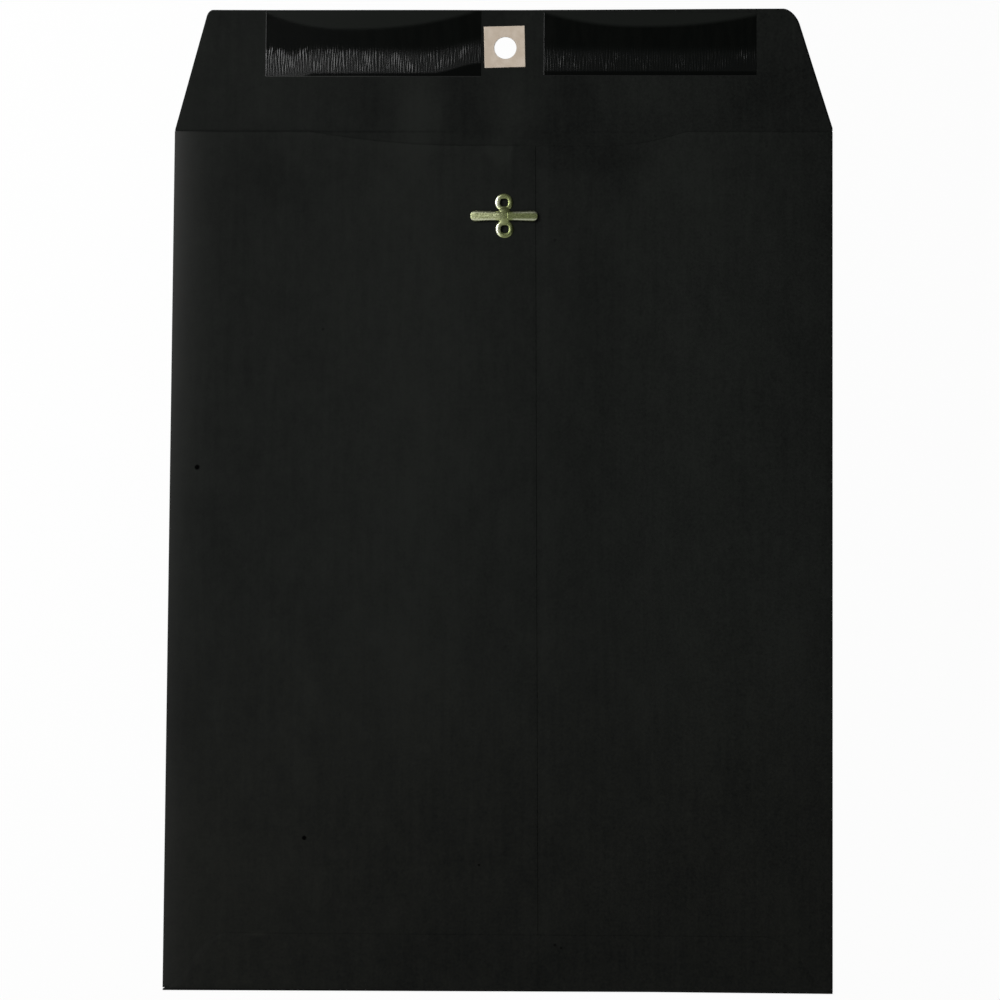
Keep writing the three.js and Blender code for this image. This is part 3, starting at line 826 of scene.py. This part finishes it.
def black_paper():
    n = Nodes("black_paper")
    x, y, z = n.coordinates()
    cloud = n.noise((70, 45, 45), detail=4)
    mottle = n.noise((300, 240, 240), detail=3)
    streak = n.noise((500, 30, 30), detail=3)
    fibre = n.noise((2600, 1500, 1500), detail=3, roughness=0.7)
    grain = n.noise((1000, 900, 900), detail=4, roughness=0.6)
    on_top = n.ramp(z, 0.3 * MM, 0.6 * MM)
    on_front = n.ramp(z, 0.3 * MM, 0.6 * MM, 1.0, 0.0)
    high = n.ramp(y, BOTTOM_Y + 40 * MM, BOTTOM_Y + 130 * MM)

    # The level says where the colour lies between the dark and the light paper.
    level = n.plus(0.46, n.centred(cloud, 0.6), n.centred(mottle, 0.45))
    level = n.plus(level, n.centred(streak, 0.4), n.centred(grain, 1.5))
    level = n.plus(level, n.times(high, on_top, 0.17))
    # Painted light and shade in broad upright bands
    for centre, half, amount in PAINTED_SHADING_BANDS:
        band = n.bell(x, centre * MM, half * MM)
        level = n.plus(level, n.times(band, amount, high, on_top))
    # Soft patches of painted light and shade
    for centre_x, centre_y, half_x, half_y, amount in PAINTED_SHADING_MARKS:
        across = n.bell(x, centre_x * MM, half_x * MM)
        along = n.bell(y, centre_y * MM, half_y * MM)
        level = n.plus(level, n.times(across, along, amount))
    # Painted shade along the crease and a painted highlight just below it, both weak around the middle
    crease_depth = n.ramp(x, -10 * MM, 70 * MM, -0.3, 0.0)
    crease = n.times(n.bell(y, FOLD_Y - 0.35 * MM, 0.5 * MM), crease_depth)
    below_crease_highlight = n.times(n.bell(y, FOLD_Y - 1.2 * MM, 0.5 * MM), 0.06)
    from_middle = n.math("ABSOLUTE", n.math("SUBTRACT", x, 8 * MM))
    off_middle = n.ramp(from_middle, 24 * MM, 36 * MM, 0.12, 1.0)
    level = n.plus(level, n.times(n.plus(crease, below_crease_highlight), off_middle))
    # Painted light on the front's inner face inside the throat, and a faint painted light line just above the
    # panels' top edge
    throat_light = n.times(n.bell(y, FOLD_Y - 4.4 * MM, 2.2 * MM), 0.1)
    line_depth = n.ramp(x, 5 * MM, 10 * MM, 0.0, 0.35)
    faint_light_line = n.times(n.bell(y, FOLD_Y - 5.7 * MM, 0.45 * MM), line_depth)
    level = n.plus(level, n.times(n.plus(throat_light, faint_light_line), on_front))
    # Painted shade: a faint dark line along the bottom flap's top edge, between its slanted ends
    between_ends = n.ramp(n.math("ABSOLUTE", x), 100 * MM, 112 * MM, 1.0, 0.0)
    flap_edge_shade = n.times(n.bell(y, BOTTOM_HIGH.y, 0.35 * MM), between_ends)
    level = n.plus(level, n.times(flap_edge_shade, -0.08))
    light = n.mix(n.ramp(y, BOTTOM_Y + 20 * MM, BOTTOM_Y + 180 * MM), PAPER_LIGHT_BELOW, PAPER_LIGHT)
    colour = n.mix(n.math("ADD", level, 0.0, clamp=True), PAPER_DARK, light)

    # A painted sheen along the left fold, stronger towards the mouth.
    from_left = n.plus(x, HALF_WIDTH)
    near_left = n.math("POWER", math.e, n.times(from_left, -1 / (4.8 * MM)))
    high_up = n.ramp(y, FOLD_Y - 190 * MM, FOLD_Y + 10 * MM, 0.27, 1.0)
    colour = n.mix(n.times(near_left, high_up, on_top), colour, PAPER_SHEEN)

    speckled = 0.0
    for speck_x, speck_y, radius, depth in SPECKS:
        dx = n.math("SUBTRACT", x, speck_x * MM)
        dy = n.math("SUBTRACT", y, speck_y * MM)
        square = n.plus(n.times(dx, dx), n.times(dy, dy))
        radius_square = (radius * MM) ** 2
        inside = n.ramp(square, radius_square * 0.3, radius_square * 1.4, depth, 0.0)
        speckled = n.math("MAXIMUM", speckled, inside)
    colour = n.mix(speckled, colour, SPECK_BLACK)

    # Painted shade: a narrow dark line along the right and the bottom fold, where they curve down.
    up = n.math("DIVIDE", n.math("SUBTRACT", y, BOTTOM_Y), FOLD_Y - BOTTOM_Y, clamp=True)
    unwidened = n.math("SUBTRACT", x, n.times(up, MOUTH_WIDENING))
    right_fold_shade = n.ramp(unwidened, HALF_WIDTH - 0.7 * MM, HALF_WIDTH - 0.2 * MM, 0.0, 0.75)
    bottom_fold_shade = n.ramp(y, BOTTOM_Y + 0.2 * MM, BOTTOM_Y + 0.7 * MM, 0.75, 0.0)
    colour = n.mix(n.math("MAXIMUM", right_fold_shade, bottom_fold_shade), colour, FOLD_SHADE_BLACK)
    roughness = n.ramp(grain, 0.3, 0.7, 0.62, 0.78)
    normal = n.bump(grain, 0.2, 0.03 * MM)
    normal = n.bump(fibre, 0.3, 0.02 * MM, normal)
    return n.finish(colour, roughness, normal, specular=0.07, metallic=n.times(speckled, 0.8))


# A painted reflection along the flap's edge, down to an arc: its lowest point, its reach to the left and
# to the right, and its sag, in millimetres. The arcs end at the height given next, from the fold.
GUM_REFLECTION_ARCS = ((-60, 31, 46, 6.0), (54, 36, 46, 4.9))
GUM_REFLECTION_TOP = 46.0
GUM_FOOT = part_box("gum_strip_left")[0].y
GUM_SMEARS = ((0.0013, 0.0017, 0.0014), (0.0019, 0.0023, 0.0019))
GUM_PAINTED_REFLECTION = (0.0086, 0.0097, 0.0086)
GUM_RIPPLED = (0.0017, 0.0022, 0.0019)
GUM_RIM = (0.0005, 0.0006, 0.0005)
GUM_EDGE_HIGHLIGHT = (0.024, 0.025, 0.023)


def dried_gum():
    n = Nodes("dried_gum")
    x, y, _ = n.coordinates()
    smear = n.noise((300, 60, 60), detail=4)
    colour = n.mix(n.ramp(smear, 0.4, 0.6), *GUM_SMEARS)
    # Painted reflection, lighter above each arc
    thin = 0.0
    for middle, left, right, sag in GUM_REFLECTION_ARCS:
        aside = n.math("SUBTRACT", x, middle * MM)
        to_left = n.math("MAXIMUM", n.times(aside, -1 / (left * MM)), 0.0)
        to_right = n.math("MAXIMUM", n.times(aside, 1 / (right * MM)), 0.0)
        across = n.plus(to_left, to_right)
        line = n.times(n.math("POWER", across, 2.2), sag * MM)
        line = n.plus(line, FOLD_Y + (GUM_REFLECTION_TOP - sag) * MM)
        here = n.ramp(n.math("SUBTRACT", y, line), -1.0 * MM, 1.0 * MM)
        here = n.times(here, n.ramp(across, 1.02, 1.1, 1.0, 0.0))
        thin = n.math("MAXIMUM", thin, here)
    colour = n.mix(thin, colour, GUM_PAINTED_REFLECTION)

    # How much higher the rippled band lies here than at the left strip's middle
    towards_patch = n.ramp(x, -28 * MM, -8 * MM, 0.0, 4 * MM)
    at_left_end = n.ramp(x, -79 * MM, -73 * MM, -1.4 * MM, 0.0)
    on_right_strip = n.ramp(x, 0, 1 * MM, 0.0, -3.2 * MM)
    rise = n.plus(towards_patch, at_left_end, on_right_strip)
    height = n.math("SUBTRACT", y, rise)
    rippled = n.ramp(height, GUM_FOOT + 7.5 * MM, GUM_FOOT + 12.5 * MM, 1.0, 0.0)
    colour = n.mix(rippled, colour, GUM_RIPPLED)
    rim = n.ramp(height, GUM_FOOT + 1.0 * MM, GUM_FOOT + 1.8 * MM, 0.4, 0.0)
    colour = n.mix(rim, colour, GUM_RIM)
    # Painted highlight: a light line along the strip's lowest edge, fading to the right
    edge_highlight = n.ramp(y, GUM_FOOT + 0.15 * MM, GUM_FOOT + 0.5 * MM, 0.8, 0.0)
    edge_highlight = n.times(edge_highlight, n.ramp(x, -60 * MM, -30 * MM, 1.0, 0.3))
    colour = n.mix(edge_highlight, colour, GUM_EDGE_HIGHLIGHT)

    above_rim = n.ramp(height, GUM_FOOT + 0.9 * MM, GUM_FOOT + 1.9 * MM)
    dulled = n.times(rippled, above_rim, n.ramp(x, 0, 10 * MM, 0.16, 0.12))
    roughness = n.plus(dulled, 0.12)
    fine = n.noise((2200, 300, 300), detail=3)
    normal = n.bump(fine, 0.1, 0.008 * MM)
    return n.finish(colour, roughness, normal, specular=0.25)


BUFF_CLOUDS = ((0.485, 0.407, 0.325), (0.543, 0.466, 0.383))
BUFF_FIBRE = (0.34, 0.27, 0.2)
BUFF_FLECK = (0.25, 0.19, 0.13)


def buff_paper():
    n = Nodes("buff_paper")
    cloud = n.noise((260, 200, 200), detail=5)
    fibre = n.noise((1700, 5200, 3000), detail=4, roughness=0.7)
    fleck = n.noise((2400, 2400, 2400), detail=2)
    colour = n.mix(n.ramp(cloud, 0.35, 0.65), *BUFF_CLOUDS)
    colour = n.mix(n.ramp(fibre, 0.6, 0.75, 0.0, 0.35), colour, BUFF_FIBRE)
    colour = n.mix(n.ramp(fleck, 0.66, 0.72, 0.0, 0.4), colour, BUFF_FLECK)
    normal = n.bump(fibre, 0.4, 0.03 * MM)
    return n.finish(colour, 0.85, normal, specular=0.2)


BRASS_CLOUDS = ((0.46, 0.5, 0.235), (0.68, 0.73, 0.42))
BRASS_TARNISH_AND_SHADE = (0.15, 0.182, 0.062)
BRASS_BRUSHED = (0.3, 0.32, 0.12)
BRASS_FAR_SIDE_SHADE = (0.05, 0.06, 0.022)
BRASS_HIGHLIGHT = (0.86, 0.88, 0.7)


def soft_brass():
    n = Nodes("soft_brass")
    x, y, _ = n.coordinates()
    cloud = n.noise((900, 1500, 1200), detail=5, roughness=0.65)
    brushed = n.noise((600, 2500, 3000), detail=4)
    colour = n.mix(n.ramp(cloud, 0.35, 0.65), *BRASS_CLOUDS)

    # Painted shade, darker from the middle to the right, with random tarnish from the cloud, on the prongs as
    # on the lobes
    tarnish_and_shade = n.ramp(x, CLASP.x - 3.4 * MM, CLASP.x + 0.5 * MM, 0.0, 0.88)
    tarnish_and_shade = n.math("ADD", tarnish_and_shade, n.plus(n.centred(cloud, 0.6), -0.07), clamp=True)
    off_bar = n.ramp(n.math("ABSOLUTE", n.math("SUBTRACT", y, CLASP.y)), 2.2 * MM, 4 * MM)
    shade_rightwards = n.ramp(x, CLASP.x - 2.6 * MM, CLASP.x - 0.6 * MM, 0.15, 0.75)
    lobe_shade = n.times(off_bar, shade_rightwards)
    colour = n.mix(n.math("MAXIMUM", tarnish_and_shade, lobe_shade), colour, BRASS_TARNISH_AND_SHADE)
    colour = n.mix(n.ramp(brushed, 0.55, 0.75, 0.0, 0.4), colour, BRASS_BRUSHED)
    # Painted shade on the lobes' far right slopes
    far_side_shade = n.ramp(x, CLASP.x + 2.3 * MM, CLASP.x + 3.1 * MM, 0.0, 1.2)
    colour = n.mix(n.times(far_side_shade, lobe_shade), colour, BRASS_FAR_SIDE_SHADE)

    # Painted highlights along the prongs' two edges and the lobes' left rims
    from_bar = n.math("ABSOLUTE", n.math("SUBTRACT", y, PRONG_Y))
    from_clasp = n.math("ABSOLUTE", n.math("SUBTRACT", x, CLASP.x))
    on_prongs = n.ramp(from_clasp, 2.6 * MM, 4.2 * MM, 0.0, 0.5)
    prong_rim_highlights = n.times(n.bell(from_bar, 1.45 * MM, 0.4 * MM), on_prongs)
    highlight_leftwards = n.ramp(x, CLASP.x - 2.8 * MM, CLASP.x - 1.2 * MM, 0.7, 0.0)
    lobe_rim_highlights = n.times(off_bar, highlight_leftwards)
    colour = n.mix(n.math("MAXIMUM", prong_rim_highlights, lobe_rim_highlights), colour, BRASS_HIGHLIGHT)
    roughness = n.ramp(cloud, 0.3, 0.7, 0.24, 0.34)
    normal = n.bump(brushed, 0.25, 0.008 * MM)
    return n.finish(colour, roughness, normal, metallic=0.9)


PASTE_CLOUDS = ((0.12, 0.1, 0.07), (0.2, 0.18, 0.13))


def paper_glue():
    n = Nodes("paper_glue")
    cloud = n.noise((400, 400, 400), detail=3)
    colour = n.mix(cloud, *PASTE_CLOUDS)
    return n.finish(colour, 0.5, n.bump(cloud, 0.2, 0.02 * MM))


def paint(piece, material):
    piece.data.materials.clear()
    piece.data.materials.append(material)


# Stage


def floor():
    bpy.ops.mesh.primitive_plane_add(size=8, location=(0, 0, -0.02 * MM))
    plane = bpy.context.object
    plane.name = "floor"
    material = bpy.data.materials.new("floor_pale")
    material.use_nodes = True
    tree = material.node_tree
    shader = tree.nodes["Principled BSDF"]
    shader.inputs["Base Color"].default_value = (0.85, 0.85, 0.85, 1)
    shader.inputs["Roughness"].default_value = 0.9
    white = tree.nodes.new("ShaderNodeEmission")
    light_path = tree.nodes.new("ShaderNodeLightPath")
    share = tree.nodes.new("ShaderNodeMath")
    share.operation = "MULTIPLY"
    share.inputs[1].default_value = 0.92
    mix = tree.nodes.new("ShaderNodeMixShader")
    tree.links.new(light_path.outputs["Is Camera Ray"], share.inputs[0])
    tree.links.new(share.outputs[0], mix.inputs["Fac"])
    tree.links.new(shader.outputs[0], mix.inputs[1])
    tree.links.new(white.outputs[0], mix.inputs[2])
    tree.links.new(mix.outputs[0], tree.nodes["Material Output"].inputs["Surface"])
    plane.data.materials.append(material)


def world():
    """A pale studio, dark overhead and brightest low on the left. The camera itself sees plain white."""
    scene_world = bpy.data.worlds.new("studio")
    scene_world.use_nodes = True
    bpy.context.scene.world = scene_world
    tree = scene_world.node_tree
    background = tree.nodes["Background"]
    place = tree.nodes.new("ShaderNodeTexCoord")

    def ramp(value, low, high, low_out, high_out):
        node = tree.nodes.new("ShaderNodeMapRange")
        node.interpolation_type = "SMOOTHSTEP"
        tree.links.new(value, node.inputs["Value"])
        for socket, number in zip(RANGE_SOCKETS, (low, high, low_out, high_out)):
            node.inputs[socket].default_value = number
        return node.outputs["Result"]

    def times(first, second):
        node = tree.nodes.new("ShaderNodeMath")
        node.operation = "MULTIPLY"
        for socket, value in zip(node.inputs, (first, second)):
            if isinstance(value, (int, float)):
                socket.default_value = value
            else:
                tree.links.new(value, socket)
        return node.outputs[0]

    # A dark ceiling patch where flat glossy faces look from the camera, and a dark right side
    towards_ceiling = tree.nodes.new("ShaderNodeVectorMath")
    towards_ceiling.operation = "DOT_PRODUCT"
    towards_ceiling.inputs[1].default_value = (0, 0.2, 0.98)
    tree.links.new(place.outputs["Generated"], towards_ceiling.inputs[0])
    ceiling = ramp(towards_ceiling.outputs["Value"], 0.94, 0.985, 1.0, 0.2)
    towards_right = tree.nodes.new("ShaderNodeVectorMath")
    towards_right.operation = "DOT_PRODUCT"
    towards_right.inputs[1].default_value = (0.75, 0.65, 0)
    tree.links.new(place.outputs["Generated"], towards_right.inputs[0])
    sideways = ramp(towards_right.outputs["Value"], -0.5, 0.5, 1.0, 0.12)
    level = times(times(ceiling, sideways), 0.62)
    light_path = tree.nodes.new("ShaderNodeLightPath")
    choose = tree.nodes.new("ShaderNodeMix")
    choose.data_type = "FLOAT"
    tree.links.new(light_path.outputs["Is Camera Ray"], choose.inputs["Factor"])
    tree.links.new(level, choose.inputs["A"])
    choose.inputs["B"].default_value = 1.0
    tree.links.new(choose.outputs["Result"], background.inputs["Strength"])
    background.inputs["Color"].default_value = (1, 1, 1, 1)


def lamp(name, place, aim, size, watts):
    light = bpy.data.lights.new(name, "AREA")
    light.shape = "RECTANGLE"
    light.size, light.size_y = size
    light.energy = watts
    holder = bpy.data.objects.new(name, light)
    bpy.context.scene.collection.objects.link(holder)
    holder.location = place
    holder.rotation_euler = (Vector(aim) - Vector(place)).to_track_quat("-Z", "Y").to_euler()


def camera():
    data = bpy.data.cameras.new("camera")
    data.lens = CAMERA_LENS
    data.sensor_width = 36
    data.clip_start = 0.05
    data.clip_end = 20
    holder = bpy.data.objects.new("camera", data)
    bpy.context.scene.collection.objects.link(holder)
    holder.location = CAMERA_PLACE
    holder.rotation_euler = [math.radians(angle) for angle in CAMERA_TURN_DEGREES]
    bpy.context.scene.camera = holder


camera()
floor()
world()
lamp("key_left", (-0.6, 0.4, 0.9), (0, 0, 0), (0.45, 0.6), 9)
lamp("fill_right", (0.9, -0.5, 1.2), (0, 0, 0), (0.8, 0.8), 1.2)
lamp("low_left", (-0.8, -0.66, 0.66), (0, 0.05, 0), (0.3, 0.3), 1.3)
bpy.context.scene.view_settings.view_transform = "Standard"

paper = black_paper()
gum = dried_gum()
buff = buff_paper()
brass = soft_brass()
paste = paper_glue()

for made in (
    front_and_flap(),
    side_panel("left_panel_sheet", -1, ("left_fold_edge", "left_side_panel")),
    side_panel("right_panel_sheet", 1, ("right_fold_edge", "right_side_panel")),
    bottom_flap_piece(),
):
    paint(made, paper)
paint(hole_patch_piece(), buff)
paint(gum_piece("gum_coat_left", "gum_strip_left", 3, 0.78, 0.14, 0.0), gum)
paint(gum_piece("gum_coat_right", "gum_strip_right", 8, 0.62, 0.1, 0.05), gum)
for made in glue_pieces():
    paint(made, paste)
paint(clasp_base_piece(), brass)
paint(prong_piece("prong_blade_left", "clasp_prong_left", -1), brass)
paint(prong_piece("prong_blade_right", "clasp_prong_right", 1), brass)
